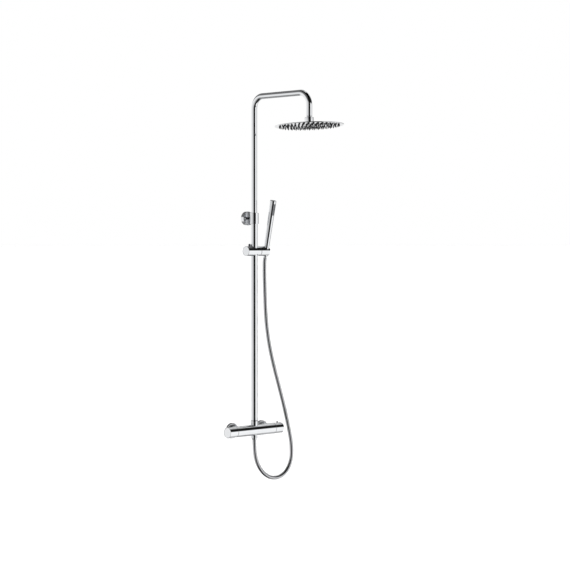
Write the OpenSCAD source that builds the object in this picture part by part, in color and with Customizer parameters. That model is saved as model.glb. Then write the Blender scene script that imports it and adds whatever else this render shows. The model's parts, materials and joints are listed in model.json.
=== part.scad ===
// Wall-mounted rainfall shower column with a thermostatic bar mixer.
// Origin: the wall plane, midway between the two inlets, at inlet height.
// +X right, -Y out from the wall, +Z up. Millimetres.

/* [Mixer] */
// Distance between the two water inlets
inlet_spacing = 150; // [150:0.5:152]
// Distance of the mixer and riser axis in front of the wall
axis_out = 45; // [45:1:52]
// Diameter of the mixer bar
bar_d = 40; // [40:0.5:44]
// Length of the fixed part of the mixer bar
bar_len = 192; // [190:2:210]
// Length of each mixer handle
knob_len = 39; // [36:1:46]
// Diameter of the wall rosettes behind the mixer
rosette_d = 58; // [54:1:64]

/* [Riser] */
// Outer diameter of the fixed lower tube
lower_d = 25; // [25:0.5:25.5]
// Outer diameter of the sliding upper tube
upper_d = 22; // [22:0.1:22.2]
// Height of the middle of the wall bracket above the mixer
bracket_h = 790; // [780:5:800]
// Height of the arm's axis above the mixer
arm_h = 1241; // [1230:1:1260]
// Distance from the riser to the drop tube
arm_reach = 290; // [280:5:330]
// Radius of the two bends, on the tube's axis
bend_r = 45; // [40:1:50]

/* [Rain head] */
// Diameter of the rain head
head_d = 250; // [248:1:254]
// Outward lean of the rain head
head_tilt = 3; // [0:0.5:6]
// Height of the ball joint above the mixer
ball_h = 1143; // [1140:1:1146]
// Number of nozzle rings
nozzle_rings = 8; // [4:1:8]

/* [Slider and handset] */
// Height of the slider above the mixer
slider_h = 668; // [660:1:672]
// Diameter of the slider and the handset holder
slider_d = 37; // [37:0.5:39]
// Length of the handset above its nut
handset_len = 185; // [170:1:200]
// Outward lean of the handset
handset_tilt = 12; // [12:1:12]

/* [Hose] */
// Outer diameter of the hose
hose_d = 14; // [12:0.5:14]

/* [Hidden] */
$fn = 96;

// Colours
chrome = [0.80, 0.81, 0.83];
brass = [0.72, 0.58, 0.30];
steel = [0.60, 0.61, 0.63];
rubber = [0.12, 0.12, 0.13];
silicone = [0.22, 0.23, 0.25];
white_plastic = [0.86, 0.86, 0.83];
grey_plastic = [0.22, 0.23, 0.25];
ceramic = [0.90, 0.89, 0.85];

// Small amounts
eps = 0.5;          // how far a cutter runs past the face it cuts
run_gap = 0.05;     // radial running clearance
seam = 1;           // groove between two parts that turn on each other

// Mixer
bar_r = bar_d / 2;
bar_half = bar_len / 2;
bar_bore_r = 15.5;
knob_x = bar_half + seam;
knob_end = knob_x + knob_len;
knob_wall = 3;
inlet_x = inlet_spacing / 2;
stub_r = 10;
stub_bore_r = 7.5;
stub_y = -17;               // wall-side end of the inlet stubs
stub_lip_r = 12.9;
filter_t = 2;
valve_y = -29;              // just clear of the bar's bore
valve_len = 11;
union_y = stub_y + filter_t;
union_thread_r = 13.2;      // G 3/4 thread
union_neck_r = 11.5;
stud_r = 10.48;             // G 1/2 thread
stud_len = 20;
union_bore_r = 7;
nut_flats = 30;
rosette_t = 11;
shell_t = 1.5;
outlet_bore_r = 8.5;
riser_bore_r = 9.5;
spindle_r = 4;
hub_r = 7;
cartridge_r = bar_bore_r - run_gap;

// Safety stop button on the temperature handle
button_x = 118;
button_r = 2;               // its stem
button_cap_r = 3.2;
button_cap_low = bar_r + 3.2;
button_top = bar_r + 5.8;
button_flange_z = 13;
button_flange_t = 1.5;

// Riser
lower_r = lower_d / 2;
lower_in_r = lower_r - 1.2;
lower_z = 26;
upper_r = upper_d / 2;
upper_in_r = upper_r - 1;
upper_z = 455;
bush_z = 435;
riser_nut_r = 14;
riser_nut_top = 37;
sleeve_r = 16.5;
sleeve_half = 20.5;
sleeve_z = bracket_h - sleeve_half;
sleeve_top = bracket_h + sleeve_half;
lower_top = bracket_h + 7;
gland_top = sleeve_top - 4;
post_r = 6;
bracket_cover_r = 26;
bracket_cover_t = 15;
bracket_base_r = 20;
bracket_hole_x = 13;
bracket_hole_r = 2.6;
lock_screw_r = 2;

// Rain head, measured from the ball's centre
drop_y = -axis_out - arm_reach;
ball_r = 12.5;
seat_r = 13.3;
stem_r = 9;
stem_top = 13;
nut_r = 16.5;
nut_low = -15;
nut_high = 7.5;
head_r = head_d / 2;
face_z = -24;               // underside of the face plate
face_t = 1;
face_r = head_r - 5;
rim_t = 3;
mat_t = 1.5;
nozzle_pitch = 13.5;
nozzle_step = 5;            // nozzles added with each ring
nozzle_drop = 5;
nozzle_root_r = 2.1;
nozzle_tip_r = 1.1;
nozzle_hole_r = 2.3;

// Slider and handset
slider_r = slider_d / 2;
slider_left = -43;
slider_right = 22;
holder_left = slider_right + seam;
holder_right = 66;
slider_bore_r = 15;
bush_half = 10.5;
axle_r = 4;
axle_left = 16.5;
axle_right = 37.5;
lever_x = -18;
lever_y = 6;
lever_post_r = 3;
lever_z = 21;
handset_x = 55;
handset_out = 5;            // handset axis in front of the slider axis
cone_low = -24;
cone_high = 8.5;
cone_low_r = 7.6;
cone_high_r = 9.5;
cone_gap = 0.15;
handset_z = 9;
handset_low_r = 10;
handset_high_r = 12;
handset_in_r = 7.5;
handset_top = handset_z + handset_len;
spray_len = 43;
spray_w = 11;
spray_top = handset_top - 12;
slot_w = 15;

// Hose: its free length hangs from the handset's nut to the mixer's outlet
hose_r = hose_d / 2;
hose_end_z = -35;
hose_sides = 10;
ring_steps = 2;             // rings between two points of the route
hose_route = [
    [55, -44.8, 643], [55, -42, 630], [56, -40.3, 600], [56.8, -40.5, 560],
    [57.2, -41.8, 510], [57.5, -43.5, 460], [61, -45, 400], [69, -46, 345], [80, -47, 295],
    [94, -48, 245], [110, -49, 195], [127, -50, 145], [144, -50, 95], [160, -50, 45],
    [174, -50, -5], [185, -50, -50], [190, -50, -90], [187, -50, -125],
    [174, -50, -155], [152, -50, -176], [124, -50, -187], [94, -49, -188],
    [65, -48, -179], [39, -47, -161], [18, -46, -134], [5, -45, -102],
    [0.5, -45, -66], [0, -45, -35.4]];

// Axis helpers: a child drawn along +Z is laid along the bar, or at an inlet
module on_bar(x) {
    translate([x, -axis_out, 0]) rotate([0, 90, 0]) children();
}
module on_inlet(side, y) {
    translate([side * inlet_x, y, 0]) rotate([-90, 0, 0]) children();
}
module on_riser(z) {
    translate([0, -axis_out, z]) children();
}
module on_ball() {
    translate([0, drop_y, ball_h]) children();
}
module on_head() {
    on_ball() rotate([-head_tilt, 0, 0]) children();
}
module on_slider() {
    translate([0, -axis_out, slider_h]) children();
}
module on_holder() {
    on_slider() rotate([handset_tilt, 0, 0]) children();
}
module on_handset() {
    on_holder() translate([handset_x, -handset_out, 0]) children();
}
module along_x(x0, x1, r) {
    translate([x0, 0, 0]) rotate([0, 90, 0]) cylinder(r = r, h = x1 - x0);
}
module tube(r_out, r_in, h) {
    difference() {
        cylinder(r = r_out, h = h);
        translate([0, 0, -eps]) cylinder(r = r_in, h = h + 2 * eps);
    }
}
// A disc with both outer edges rounded
module round_disc(r, h, edge) {
    rotate_extrude() union() {
        square([r - edge, h]);
        translate([0, edge]) square([r, h - 2 * edge]);
        translate([r - edge, edge]) circle(r = edge, $fn = 32);
        translate([r - edge, h - edge]) circle(r = edge, $fn = 32);
    }
}

// Sweep of a round section along a list of points
function spline_at(a, b, c, d, t) =
    (a * pow(1 - t, 3) + b * (3 * pow(t, 3) - 6 * t * t + 4)
    + c * (-3 * pow(t, 3) + 3 * t * t + 3 * t + 1) + d * pow(t, 3)) / 6;
function padded(p) =
    concat([2 * p[0] - p[1]], p, [2 * p[len(p) - 1] - p[len(p) - 2]]);
function spline(p, steps) = let (q = padded(p))
    concat([for (i = [0 : len(p) - 2]) for (s = [0 : steps - 1])
        spline_at(q[i], q[i + 1], q[i + 2], q[i + 3], s / steps)], [p[len(p) - 1]]);
function unit(v) = v / norm(v);
function tangent(p, i) =
    unit(p[min(i + 1, len(p) - 1)] - p[max(i - 1, 0)]);
function ring(centre, dir, r, sides) = let (
        side = unit(cross(dir, [0.02, 1, 0.01])), up = cross(side, dir))
    [for (k = [0 : sides - 1]) let (a = 360 * k / sides)
        centre + r * (cos(a) * side + sin(a) * up)];
module sweep(path, r, sides) {
    n = len(path);
    points = [for (i = [0 : n - 1]) each ring(path[i], tangent(path, i), r, sides)];
    walls = [for (i = [0 : n - 2]) for (k = [0 : sides - 1]) let (k2 = (k + 1) % sides)
        each [[i * sides + k, i * sides + k2, (i + 1) * sides + k2],
            [i * sides + k, (i + 1) * sides + k2, (i + 1) * sides + k]]];
    start = [for (k = [sides - 1 : -1 : 0]) k];
    end = [for (k = [0 : sides - 1]) (n - 1) * sides + k];
    polyhedron(points, concat([start], walls, [end]), convexity = 8);
}
function coil_path(r, h, turns, per_turn) =
    [for (i = [0 : turns * per_turn]) let (a = 360 * i / per_turn)
        [r * cos(a), r * sin(a), h * i / (turns * per_turn)]];
function coil_tangent(r, h, turns, a) =
    unit([-r * sin(a), r * cos(a), h / (turns * 2 * PI)]);
module coil(r, wire_r, h, turns) {
    per_turn = 14;
    sides = 6;
    path = coil_path(r, h, turns, per_turn);
    n = len(path);
    points = [for (i = [0 : n - 1])
        let (a = 360 * i / per_turn, dir = coil_tangent(r, h, turns, a),
            out = [cos(a), sin(a), 0], up = cross(dir, out))
        for (k = [0 : sides - 1]) let (b = 360 * k / sides)
            path[i] + wire_r * (cos(b) * out + sin(b) * up)];
    walls = [for (i = [0 : n - 2]) for (k = [0 : sides - 1]) let (k2 = (k + 1) % sides)
        each [[i * sides + k, (i + 1) * sides + k2, i * sides + k2],
            [i * sides + k, (i + 1) * sides + k, (i + 1) * sides + k2]]];
    start = [for (k = [0 : sides - 1]) k];
    end = [for (k = [sides - 1 : -1 : 0]) (n - 1) * sides + k];
    polyhedron(points, concat([start], walls, [end]), convexity = 8);
}

// ---- Mixer ----
module mixer_body() color(chrome) difference() {
    union() {
        on_bar(-bar_half) cylinder(r = bar_r, h = bar_len);
        for (side = [-1, 1]) {
            on_inlet(side, -axis_out) cylinder(r = stub_r, h = axis_out + stub_y);
            on_inlet(side, stub_y - 4) cylinder(r = stub_lip_r, h = 4);
        }
    }
    on_bar(-bar_half - eps) cylinder(r = bar_bore_r, h = bar_len + 2 * eps);
    for (side = [-1, 1])
        on_inlet(side, -axis_out) cylinder(r = stub_bore_r, h = axis_out);
    on_riser(0) cylinder(r = riser_bore_r, h = bar_r + eps);
    on_riser(-bar_r - eps) cylinder(r = outlet_bore_r, h = bar_r + eps);
}
module wall_union(side) color(brass) difference() {
    union() {
        on_inlet(side, union_y) cylinder(r = union_thread_r, h = -union_y - 4);
        on_inlet(side, -5) cylinder(r = union_neck_r, h = 5);
        on_inlet(side, -1) cylinder(r = stud_r, h = 1 + stud_len);
    }
    on_inlet(side, union_y - eps)
        cylinder(r = union_bore_r, h = stud_len - union_y + 2 * eps);
}
module left_wall_union() wall_union(-1);
module right_wall_union() wall_union(1);

module wall_rosette(side) color(chrome) difference() {
    on_inlet(side, -rosette_t) round_disc(rosette_d / 2, rosette_t, 1);
    on_inlet(side, shell_t - rosette_t)
        cylinder(r = rosette_d / 2 - shell_t, h = rosette_t);
    on_inlet(side, -rosette_t - eps)
        cylinder(r = union_thread_r + 0.2, h = rosette_t);
}
module left_wall_rosette() wall_rosette(-1);
module right_wall_rosette() wall_rosette(1);

module union_nut(side) color(chrome) {
    nut_low_y = -axis_out + bar_r + 0.5;
    nut_high_y = -rosette_t - 0.3;
    difference() {
        on_inlet(side, nut_low_y)
            cylinder(r = nut_flats / 2 / cos(30), h = nut_high_y - nut_low_y, $fn = 6);
        on_inlet(side, nut_low_y - eps)
            cylinder(r = stub_r + 0.2, h = nut_high_y - nut_low_y + 2 * eps);
        on_inlet(side, stub_y - 4.2) cylinder(r = union_thread_r + 0.1, h = 20);
    }
}
module left_union_nut() union_nut(-1);
module right_union_nut() union_nut(1);

module inlet_filters() color(rubber) for (side = [-1, 1])
    on_inlet(side, stub_y) difference() {
        cylinder(r = 12.5, h = filter_t);
        cylinder(r = 1.3, h = 10, center = true);
        for (k = [0 : 5]) rotate([0, 0, 60 * k]) translate([4, 0, 0])
            cylinder(r = 1.3, h = 10, center = true);
    }
module check_valves() color(white_plastic) for (side = [-1, 1])
    on_inlet(side, valve_y) difference() {
        cylinder(r = stub_bore_r, h = valve_len);
        translate([0, 0, 3]) cylinder(r = 5.5, h = valve_len);
        for (k = [0 : 3]) rotate([0, 0, 90 * k]) translate([3, 0, -eps])
            cylinder(r = 1, h = 5);
    }

// Left handle: opens the flow and sends it to the rain head or to the handset
module flow_cartridge() color(white_plastic) on_bar(-bar_half) difference() {
    cylinder(r = cartridge_r, h = 46);
    translate([0, 0, -eps]) cylinder(r = spindle_r + run_gap, h = 46);
    translate([0, 0, 36]) cylinder(r = 12, h = 11);
}
module disc_with_ports(r, h) difference() {
    cylinder(r = r, h = h);
    for (k = [0 : 1]) rotate([0, 0, 180 * k]) translate([6, 0, -eps])
        cylinder(r = 3, h = h + 2 * eps);
}
module flow_disc_moving() color(ceramic) on_bar(-bar_half + 38)
    disc_with_ports(11.6, 3.9);
module flow_disc_fixed() color(ceramic) on_bar(-bar_half + 42)
    disc_with_ports(12, 4);
module flow_spindle() color(brass) on_bar(-knob_end + 10)
    cylinder(r = spindle_r, h = knob_end - 10 - bar_half + 38);

module handle_shell() difference() {
    union() {
        difference() {
            round_disc(bar_r, knob_len, 0.8);
            translate([0, 0, -eps])
                cylinder(r = bar_r - knob_wall, h = knob_len - knob_wall + eps);
        }
        translate([0, 0, 8]) cylinder(r = hub_r, h = knob_len - 9);
    }
    translate([0, 0, -eps]) cylinder(r = spindle_r, h = knob_len - 10 + eps);
    translate([0, 0, knob_len - 24]) rotate([0, 90, 0])
        cylinder(r = lock_screw_r, h = bar_r + eps);
}
module knob_screw() translate([0, 0, knob_len - 24]) rotate([0, 90, 0])
    translate([0, 0, spindle_r]) cylinder(r = lock_screw_r, h = bar_r - spindle_r - 1);
module at_temperature_knob() on_bar(knob_x) children();
module at_flow_knob() translate([-knob_x, -axis_out, 0]) rotate([0, -90, 0])
    mirror([1, 0, 0]) children();

module flow_knob() color(chrome) at_flow_knob() handle_shell();
module flow_knob_screw() color(steel) at_flow_knob() knob_screw();

// Right handle: sets the temperature, with a safety stop that a button releases
module thermostat_cartridge() color(white_plastic) on_bar(40) difference() {
    cylinder(r = cartridge_r, h = bar_half - 40);
    translate([0, 0, -eps]) cylinder(r = 11, h = 22);
    translate([0, 0, 20]) cylinder(r = spindle_r + run_gap, h = bar_half);
}
module thermostat_element() color(brass) on_bar(42) union() {
    cylinder(r = 4, h = 16);
    translate([0, 0, 10]) cylinder(r = 9, h = 3);
}
module thermostat_spring() color(steel) on_bar(42.6) coil(7, 0.6, 8.8, 4);
module temperature_spindle() color(brass) on_bar(bar_half - 34)
    cylinder(r = spindle_r, h = knob_end - 10 - bar_half + 34);
module temperature_knob() color(chrome) difference() {
    at_temperature_knob() handle_shell();
    translate([button_x, -axis_out, hub_r + 1])
        cylinder(r = button_r + run_gap, h = bar_r);
}
module temperature_knob_screw() color(steel) at_temperature_knob() knob_screw();
module stop_ring() color(white_plastic) on_bar(bar_half) difference() {
    tube(15.4, spindle_r + 1, 5);
    translate([10, 0, 0]) cylinder(r = 2, h = 20, center = true);
}
module stop_button() color(grey_plastic) translate([button_x, -axis_out, 0]) union() {
    translate([0, 0, button_flange_z]) cylinder(r = button_r, h = button_top - button_flange_z);
    translate([0, 0, button_flange_z]) cylinder(r = 4.6, h = button_flange_t);
    translate([0, 0, button_cap_low]) cylinder(r = button_cap_r, h = button_top - button_cap_low);
}
module stop_button_spring() color(steel)
    translate([button_x, -axis_out, hub_r + 0.6]) coil(3.4, 0.4, 4.9, 3);

// ---- Riser ----
module riser_nut() color(chrome) difference() {
    union() {
        on_riser(13) cylinder(r = riser_bore_r, h = 10);
        difference() {
            on_riser(13) cylinder(r = riser_nut_r, h = riser_nut_top - 13);
            on_bar(-bar_half) cylinder(r = bar_r, h = bar_len);
        }
    }
    on_riser(13 - eps) cylinder(r = 6, h = 30);
    on_riser(lower_z - 2) cylinder(r = lower_r, h = 30);
}
module riser_seal() color(rubber) on_riser(lower_z - 2) tube(lower_r, 7, 2);
module lower_tube() color(chrome) difference() {
    on_riser(lower_z) tube(lower_r, lower_in_r, lower_top - lower_z);
    on_riser(bracket_h) along_x(0, lower_r + eps, lock_screw_r);
}
module riser_sleeve() color(chrome) difference() {
    on_riser(sleeve_z) round_disc(sleeve_r, 2 * sleeve_half, 0.8);
    on_riser(sleeve_z - eps) cylinder(r = lower_r, h = gland_top - sleeve_z + eps);
    on_riser(gland_top - 1) cylinder(r = upper_r + 0.5, h = 10);
    on_riser(bracket_h) along_x(0, sleeve_r + eps, lock_screw_r);
}
module sleeve_gland() color(white_plastic) on_riser(lower_top)
    tube(lower_r, upper_r + run_gap, gland_top - lower_top);
module height_lock_screw() color(steel) on_riser(bracket_h)
    along_x(upper_r + 0.1, sleeve_r - 0.5, lock_screw_r);

module on_bracket(y) translate([0, y, bracket_h]) rotate([-90, 0, 0]) children();
module bracket_post() color(chrome) difference() {
    on_bracket(-axis_out + sleeve_r - 2) cylinder(r = post_r, h = axis_out - sleeve_r - 2);
    on_riser(sleeve_z) cylinder(r = sleeve_r, h = 2 * sleeve_half);
}
module bracket_base() color(steel) difference() {
    union() {
        on_bracket(-5) cylinder(r = bracket_base_r, h = 5);
        on_bracket(-12) cylinder(r = 9, h = 12);
    }
    on_bracket(-12 - eps) cylinder(r = post_r, h = 8 + eps);
    for (side = [-1, 1]) translate([side * bracket_hole_x, 0, 0])
        on_bracket(-6) cylinder(r = bracket_hole_r, h = 8);
}
module bracket_rosette() color(chrome) difference() {
    on_bracket(-bracket_cover_t) round_disc(bracket_cover_r, bracket_cover_t, 1);
    on_bracket(shell_t - bracket_cover_t)
        cylinder(r = bracket_cover_r - shell_t, h = bracket_cover_t);
    on_bracket(-bracket_cover_t - eps) cylinder(r = post_r + 0.1, h = bracket_cover_t);
}

// ---- Sliding upper tube with the arm ----
module arm_bend(y, start, r) translate([0, y, arm_h - bend_r]) rotate([90, 0, 90])
    rotate([0, 0, start]) rotate_extrude(angle = 90) translate([bend_r, 0]) circle(r = r);
module arm_path(r, z0, z1) {
    on_riser(z0) cylinder(r = r, h = arm_h - bend_r - z0);
    arm_bend(-axis_out - bend_r, 0, r);
    translate([0, -axis_out - bend_r, arm_h]) rotate([90, 0, 0])
        cylinder(r = r, h = arm_reach - 2 * bend_r);
    arm_bend(drop_y + bend_r, 90, r);
    translate([0, drop_y, z1]) cylinder(r = r, h = arm_h - bend_r - z1);
}
module upper_tube() color(chrome) difference() {
    arm_path(upper_r, upper_z, ball_h + stem_top);
    arm_path(upper_in_r, upper_z - eps, ball_h + stem_top - eps);
}
module telescope_bush() color(white_plastic) on_riser(bush_z) difference() {
    union() {
        cylinder(r = lower_in_r - run_gap, h = upper_z - bush_z);
        cylinder(r = upper_in_r - run_gap, h = upper_z - bush_z + 8);
    }
    translate([0, 0, -eps]) cylinder(r = 7, h = 40);
    for (z = [5, 12]) translate([0, 0, z]) tube(lower_r, 9.7, 2);
}
module telescope_orings() color(rubber) for (z = [6, 13])
    on_riser(bush_z + z) rotate_extrude() translate([10.48, 0]) circle(r = 0.76);
module ball_fitting() color(chrome) on_ball() difference() {
    union() {
        sphere(r = ball_r);
        cylinder(r = stem_r, h = stem_top + 4);
        translate([0, 0, stem_top]) cylinder(r = upper_in_r, h = 12);
        translate([0, 0, stem_top - 1.5]) cylinder(r = upper_r, h = 1.5);
    }
    translate([0, 0, -20]) cylinder(r = 4.5, h = 60);
}
module ball_seat() color(white_plastic) on_ball() difference() {
    intersection() {
        sphere(r = seat_r);
        translate([0, 0, -4]) cylinder(r = 20, h = 6);
    }
    sphere(r = ball_r + run_gap);
}

// ---- Rain head ----
module head_nut() color(chrome) on_head() difference() {
    translate([0, 0, nut_low]) round_disc(nut_r, nut_high - nut_low, 1.2);
    sphere(r = seat_r + run_gap);
}
module head_top_plate() color(chrome) on_head() difference() {
    rotate_extrude() difference() {
        polygon([[0, face_z], [head_r - 1, face_z], [head_r, face_z + 1],
            [head_r, face_z + 2], [head_r - 1, face_z + rim_t],
            [30, nut_low - 3], [nut_r + 2, nut_low], [0, nut_low]]);
        polygon([[-1, face_z - 1], [face_r, face_z - 1], [face_r, face_z + face_t + mat_t],
            [30, nut_low - 4.5], [-1, nut_low - 4.5]]);
    }
    translate([0, 0, nut_low - 10]) cylinder(r = 8, h = 20);
}
// Nozzles stand on rings, each with the same number more than the ring inside it
function nozzle_places() = concat([[0, 0]],
    [for (k = [1 : nozzle_rings]) for (i = [0 : k * nozzle_step - 1])
        let (a = 360 * i / (k * nozzle_step))
        nozzle_pitch * k * [sin(a), cos(a)]]);
module head_face_plate() color(chrome) on_head() difference() {
    translate([0, 0, face_z]) cylinder(r = face_r, h = face_t);
    for (p = nozzle_places()) translate([p[0], p[1], face_z - eps])
        cylinder(r = nozzle_hole_r, h = face_t + 2 * eps, $fn = 16);
}
module nozzle_mat() color(silicone) on_head() union() {
    translate([0, 0, face_z + face_t]) cylinder(r = face_r, h = mat_t);
    for (p = nozzle_places()) translate([p[0], p[1], face_z - nozzle_drop])
        cylinder(r1 = nozzle_tip_r, r2 = nozzle_root_r,
            h = nozzle_drop + face_t + 0.5, $fn = 16);
}

// ---- Slider and handset holder ----
module slider_body() color(chrome) on_slider() difference() {
    translate([slider_left, 0, 0]) rotate([0, 90, 0])
        round_disc(slider_r, slider_right - slider_left, 0.8);
    cylinder(r = slider_bore_r, h = 60, center = true);
    along_x(axle_left - 3, slider_right + eps, axle_r);
    translate([lever_x, lever_y, 4]) cylinder(r = lever_post_r + run_gap, h = 30);
}
module slider_bush() color(white_plastic) on_slider() translate([0, 0, -bush_half])
    tube(slider_bore_r - run_gap, lower_r + run_gap, 2 * bush_half);
module clamp_lever() color(chrome) on_slider() translate([lever_x, lever_y, 0]) union() {
    translate([0, 0, 5]) cylinder(r = lever_post_r, h = lever_z - 5);
    translate([0, 0, lever_z - 2]) cylinder(r = 4.6, h = 4);
    translate([0, 0, lever_z + 2]) sphere(r = 4.6);
    translate([0, 0, lever_z]) rotate([0, 90, 34]) cylinder(r = 1.8, h = 21);
}
module holder_axle() color(brass) on_slider() along_x(axle_left, axle_right, axle_r);
module holder_washer() color(grey_plastic) on_slider()
    translate([slider_right, 0, 0]) rotate([0, 90, 0]) tube(15, axle_r + 0.1, seam - 0.1);
module holder() color(chrome) on_holder() difference() {
    translate([holder_left, 0, 0]) rotate([0, 90, 0])
        round_disc(slider_r, holder_right - holder_left, 0.8);
    along_x(holder_left - eps, axle_right + 1, axle_r + run_gap);
    translate([handset_x, -handset_out, 0]) {
        translate([0, 0, cone_low]) cylinder(r1 = cone_low_r + cone_gap,
            r2 = cone_high_r + cone_gap, h = cone_high - cone_low);
        translate([0, 0, cone_high - 0.1]) cylinder(r = handset_low_r + 0.3, h = 20);
        translate([-slot_w / 2, 0, -30]) cube([slot_w, 30, 60]);
    }
}

// ---- Handset, along its own axis from the holder's middle ----
module handset_body() color(chrome) on_handset() difference() {
    union() {
        translate([0, 0, handset_z]) cylinder(r1 = handset_low_r, r2 = handset_high_r,
            h = handset_len - 5);
        translate([0, 0, -2]) cylinder(r = 7, h = 14);
    }
    translate([0, 0, handset_z + 6]) cylinder(r = handset_in_r, h = handset_len);
    translate([0, 0, -5]) cylinder(r = 4, h = 30);
    translate([-spray_w / 2, -20, spray_top - spray_len])
        cube([spray_w, 20, spray_len]);
}
module handset_cap() color(chrome) on_handset() translate([0, 0, handset_top - 5]) union() {
    round_disc(handset_high_r, 5, 1.5);
    translate([0, 0, -4]) cylinder(r = handset_in_r, h = 5);
}
module handset_spray_plate() color(grey_plastic) on_handset() union() {
    intersection() {
        cylinder(r = 11.4, h = handset_top);
        translate([-spray_w / 2, -20, spray_top - spray_len])
            cube([spray_w, 12.5, spray_len]);
    }
    for (row = [-1, 0, 1]) for (k = [0 : 10])
        translate([row * 3.4, 0, spray_top - 4 - k * 3.5]) rotate([90, 0, 0])
            translate([0, 0, 8]) cylinder(r = 0.7, h = 4.2, $fn = 12);
}
module handset_washer() color(rubber) on_handset() translate([0, 0, -4]) tube(7, 4, 2);

// ---- Hose ----
module hose_cone_nut() color(chrome) on_handset() difference() {
    translate([0, 0, cone_low]) cylinder(r1 = cone_low_r, r2 = cone_high_r,
        h = cone_high - cone_low);
    translate([0, 0, -4]) cylinder(r = 7, h = 30);
    translate([0, 0, cone_low - eps]) cylinder(r = 4, h = 30);
}
module hose() color(chrome) sweep(spline(hose_route, ring_steps), hose_r, hose_sides);
module hose_lower_nut() color(chrome) on_riser(0) difference() {
    translate([0, 0, hose_end_z]) rotate_extrude()
        polygon([[0, 0], [8.5, 0], [11.6, 5], [11.6, 13.5], [0, 13.5]]);
    translate([0, 0, hose_end_z + 3.5]) cylinder(r = 10.48, h = 20);
    translate([0, 0, hose_end_z - eps]) cylinder(r = 4.5, h = 20);
}
module hose_washer() color(rubber) on_riser(hose_end_z + 3.5) tube(10, 5, 1.5);
module outlet_nipple() color(brass) on_riser(0) difference() {
    union() {
        translate([0, 0, hose_end_z + 5]) cylinder(r = 10.4, h = 9);
        difference() {
            translate([0, 0, -21]) cylinder(r = 11.6, h = 8);
            rotate([0, 90, 0]) cylinder(r = bar_r, h = 60, center = true);
        }
        translate([0, 0, -24]) cylinder(r = outlet_bore_r, h = 10);
    }
    translate([0, 0, -40]) cylinder(r = 6, h = 40);
}

mixer_body();
left_wall_union();
right_wall_union();
left_wall_rosette();
right_wall_rosette();
left_union_nut();
right_union_nut();
inlet_filters();
check_valves();
flow_cartridge();
flow_disc_fixed();
flow_disc_moving();
flow_spindle();
flow_knob();
flow_knob_screw();
thermostat_cartridge();
thermostat_element();
thermostat_spring();
temperature_spindle();
temperature_knob();
temperature_knob_screw();
stop_ring();
stop_button();
stop_button_spring();
riser_nut();
riser_seal();
lower_tube();
riser_sleeve();
sleeve_gland();
height_lock_screw();
bracket_post();
bracket_rosette();
bracket_base();
upper_tube();
telescope_bush();
telescope_orings();
ball_fitting();
ball_seat();
head_nut();
head_top_plate();
head_face_plate();
nozzle_mat();
slider_body();
slider_bush();
clamp_lever();
holder_axle();
holder_washer();
holder();
handset_body();
handset_cap();
handset_spray_plate();
handset_washer();
hose_cone_nut();
hose();
hose_lower_nut();
hose_washer();
outlet_nipple();
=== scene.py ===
"""Looks of the wall-mounted rainfall shower column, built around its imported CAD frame.

Origin: the wall plane, midway between the two water inlets. +X right, -Y out from the wall, +Z up.
Blender works in metres. The shapes below are drawn in millimetres, in the local frame of each
sub-part, and placed by a matrix. Places come from the frame's boxes and joints, and the sizes
that those don't give are named values.
"""

import json
import math

import bmesh
import bpy
from mathutils import Matrix, Vector


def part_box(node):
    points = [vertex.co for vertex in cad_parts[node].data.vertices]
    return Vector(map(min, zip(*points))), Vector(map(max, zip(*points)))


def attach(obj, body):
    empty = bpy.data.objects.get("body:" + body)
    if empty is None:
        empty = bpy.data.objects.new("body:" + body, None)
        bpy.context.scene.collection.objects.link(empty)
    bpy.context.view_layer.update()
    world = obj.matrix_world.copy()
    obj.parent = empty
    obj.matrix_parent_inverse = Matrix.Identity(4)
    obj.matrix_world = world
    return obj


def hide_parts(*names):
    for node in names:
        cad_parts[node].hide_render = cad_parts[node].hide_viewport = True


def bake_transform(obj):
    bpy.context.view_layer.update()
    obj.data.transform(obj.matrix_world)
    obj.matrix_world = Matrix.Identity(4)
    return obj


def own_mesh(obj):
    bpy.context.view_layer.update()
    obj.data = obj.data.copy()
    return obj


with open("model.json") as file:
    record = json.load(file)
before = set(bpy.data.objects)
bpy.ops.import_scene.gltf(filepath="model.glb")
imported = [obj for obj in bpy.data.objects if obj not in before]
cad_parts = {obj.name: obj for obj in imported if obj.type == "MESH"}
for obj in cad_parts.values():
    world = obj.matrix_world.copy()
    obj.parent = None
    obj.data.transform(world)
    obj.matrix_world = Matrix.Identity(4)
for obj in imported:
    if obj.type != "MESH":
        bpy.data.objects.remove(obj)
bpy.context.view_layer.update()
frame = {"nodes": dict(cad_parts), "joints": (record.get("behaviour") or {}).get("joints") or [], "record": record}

MM = 0.001
SIDES = 128                  # facets round a large turned piece
FILLET_STEPS = 5
CREASE = 32                  # degrees, past which an edge is sharp

JOINTS = {joint["name"]: joint for joint in frame["joints"]}


# ---- Places, in millimetres ----
def box_mm(node):
    low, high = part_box(node)
    return low / MM, high / MM


def joint_mm(name):
    return Vector(JOINTS[name]["pos_m"]) / MM


RISER_LOW, RISER_HIGH = box_mm("lower_tube")
AXIS_Y = (RISER_LOW.y + RISER_HIGH.y) / 2
TUBE_R = (RISER_HIGH.x - RISER_LOW.x) / 2
BALL = joint_mm("head_tilt")
SLIDER = joint_mm("holder_tilt")
HEAD_LEAN = math.radians(-3)
HANDSET_LEAN = math.radians(12)
HANDSET_X = 55               # the handset's axis, right of the riser
HANDSET_OUT = 5              # and in front of it
INLETS = (("left", -75), ("right", 75))
SNUG = 0.03                  # gap round the lower tube in its nut and sleeve


def shift(x=0.0, y=0.0, z=0.0):
    return Matrix.Translation((x, y, z))


def turn(axis, degrees):
    return Matrix.Rotation(math.radians(degrees), 4, axis)


def on_bar(x):
    """Local Z runs along the mixer bar."""
    return shift(x, AXIS_Y, 0) @ turn("Y", 90)


def on_wall(x, y, z):
    """Local Z runs out from the wall."""
    return shift(x, y, z) @ turn("X", 90)


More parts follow.
